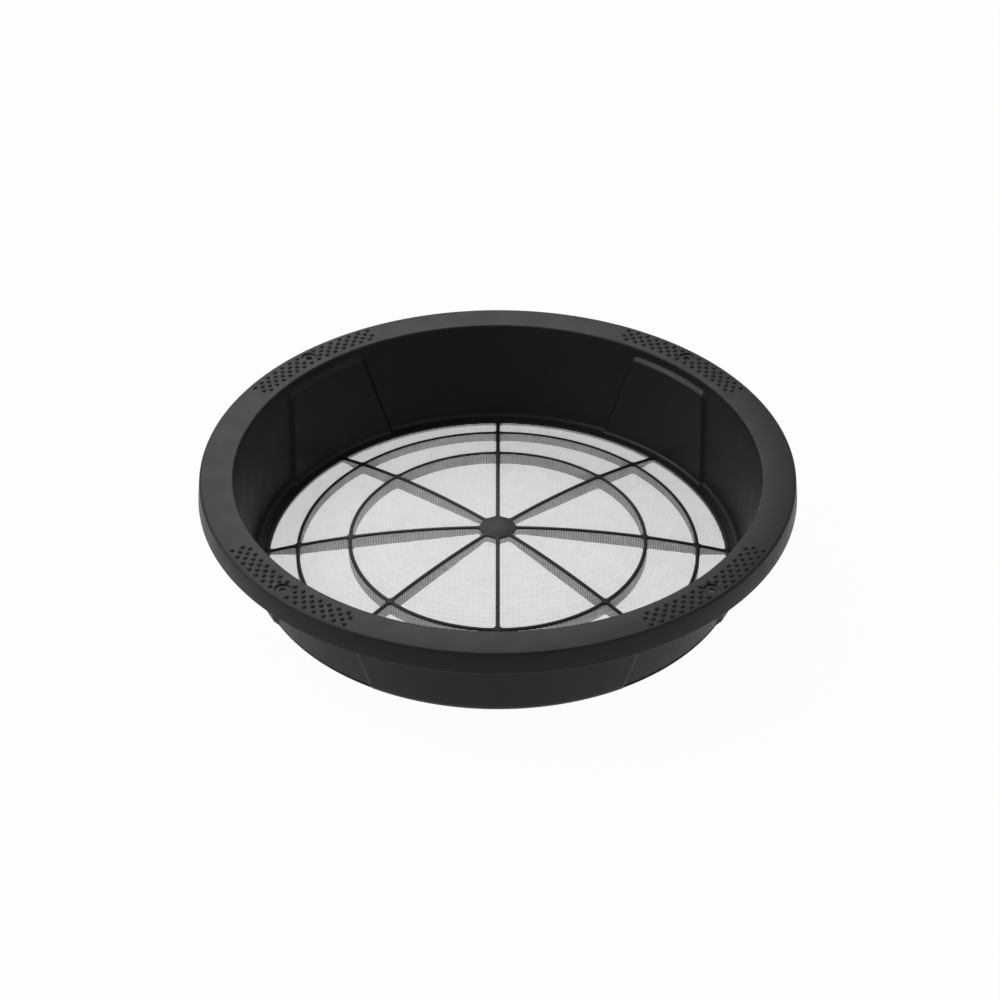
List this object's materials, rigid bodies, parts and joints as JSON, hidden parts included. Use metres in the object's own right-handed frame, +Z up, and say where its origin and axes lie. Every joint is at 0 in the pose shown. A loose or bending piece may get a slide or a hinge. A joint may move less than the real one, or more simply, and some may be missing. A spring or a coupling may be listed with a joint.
{
  "type": "tank inlet screen",
  "caption": "Round drop-in basket with a broad flange and a domed woven mesh floor, to keep leaves and insects out of a rainwater tank.",
  "frame": {"origin": "centre of the base ring's underside", "axes": "+Z up through the mouth; the four screw holes are at 45 degrees to X and Y"},
  "size_m": [0.446, 0.446, 0.082],
  "materials": {
    "basket": "satin black moulded plastic with a fine even grain",
    "screen_mesh": "fine woven stainless wire, plain weave"
  },
  "bodies": {
    "root": {"basket": "basket", "screen_mesh": "screen_mesh"}
  },
  "joints": []
}
